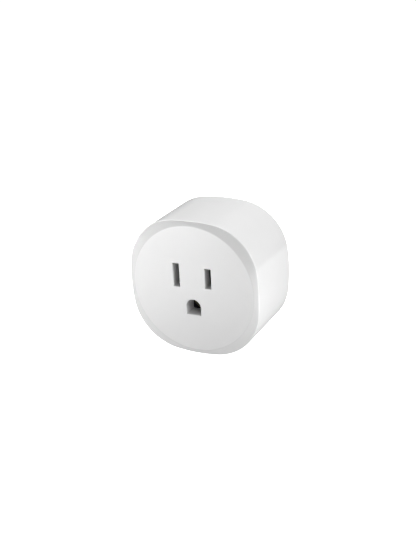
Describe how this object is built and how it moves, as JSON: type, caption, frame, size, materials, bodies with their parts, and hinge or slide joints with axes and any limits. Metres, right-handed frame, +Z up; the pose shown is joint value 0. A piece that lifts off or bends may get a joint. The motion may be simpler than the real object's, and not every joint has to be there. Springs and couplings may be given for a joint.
{
  "type": "plug-in power meter",
  "caption": "Rounded-square plug-in power meter: three-pin outlet in front, wall blades behind, relay and metering boards inside.",
  "frame": {"origin": "centre of the case's back face, the plane that lies against the wall outlet", "axes": "+Y out of the back face into the wall, as the blades point; -Y out of the front face with the outlet; +Z up; +X to the right seen from the front"},
  "size_m": [0.0516, 0.0505, 0.0516],
  "materials": {
    "case_white": "moulded, semi-gloss",
    "cover_white": "moulded, fine texture",
    "button_white": "moulded, semi-gloss",
    "screw_steel": "zinc plated",
    "plated_brass": "nickel plated, satin",
    "contact_brass": "bare strip",
    "contact_silver": "silver alloy",
    "dark_nylon": "moulded nylon",
    "circuit_board": "solder mask",
    "tinned_wire": "tinned",
    "capacitor_sleeve": "shrink sleeve on an aluminium can",
    "ferrite": "sintered ferrite",
    "copper_wire": "enamelled copper",
    "film_box": "potted box",
    "fuse_brown": "moulded",
    "varistor_blue": "dipped epoxy",
    "chip_black": "moulded epoxy",
    "chip_ceramic": "ceramic with tinned ends",
    "shunt_alloy": "copper manganese strip",
    "relay_black": "moulded",
    "bobbin_plastic": "moulded nylon",
    "soft_iron": "zinc plated soft iron",
    "shield_tin": "tinned sheet",
    "plunger_plastic": "moulded",
    "lamp_resin": "clear resin",
    "light_pipe_clear": "clear moulded"
  },
  "bodies": {
    "housing": {"board_header": "chip_black", "bridge_rectifier": "chip_black", "bulk_capacitors": "capacitor_sleeve", "carrier_cover": "dark_nylon", "carrier_screws": "screw_steel", "chip_leads": "tinned_wire", "chip_passives": "chip_ceramic", "coil_pins": "tinned_wire", "component_leads": "tinned_wire", "contact_carrier": "dark_nylon", "control_board": "circuit_board", "converter_chip": "chip_black", "cover_screws": "screw_steel", "fixed_contact": "contact_silver", "front_housing": "case_white", "fuse": "fuse_brown", "ground_contact": "contact_brass", "ground_pin": "plated_brass", "ground_strap": "contact_brass", "header_pins": "tinned_wire", "hot_blade": "plated_brass", "hot_contact": "contact_brass", "inductor_core": "ferrite", "inductor_winding": "copper_wire", "light_pipe": "light_pipe_clear", "main_board": "circuit_board", "metering_chip": "chip_black", "neutral_blade": "plated_brass", "neutral_contact": "contact_brass", "radio_board": "circuit_board", "radio_chip": "chip_black", "radio_shield": "shield_tin", "rear_cover": "cover_white", "relay_base": "relay_black", "relay_bobbin": "bobbin_plastic", "relay_core": "soft_iron", "relay_cover": "relay_black", "relay_winding": "copper_wire", "relay_yoke": "soft_iron", "safety_capacitor": "film_box", "shunt_resistor": "shunt_alloy", "status_lamp": "lamp_resin", "switch_body": "chip_black", "varistor": "varistor_blue"},
    "button": {"button_cap": "button_white"},
    "switch_plunger": {"switch_plunger": "plunger_plastic"},
    "relay_armature": {"relay_armature": "soft_iron", "moving_contact": "contact_silver"}
  },
  "joints": [
    {"name": "button_press", "type": "slide", "parent": "housing", "child": "button", "axis": [1, 0, 0], "range_m": [0, 0.00025], "stiffness_N_per_m": 1200, "springref_m": -0.001},
    {"name": "switch_press", "type": "slide", "parent": "housing", "child": "switch_plunger", "axis": [1, 0, 0], "range_m": [0, 0.00025]},
    {"name": "armature_swing", "type": "hinge", "parent": "housing", "child": "relay_armature", "pos_m": [0.01615, -0.0204, -0.0062], "axis": [1, 0, 0], "range_deg": [0, 5], "stiffness_Nm_per_rad": 0.02, "springref_deg": -5.73}
  ],
  "couplings": [
    {"joint": "switch_press", "follows": "button_press", "ratio": 1}
  ]
}
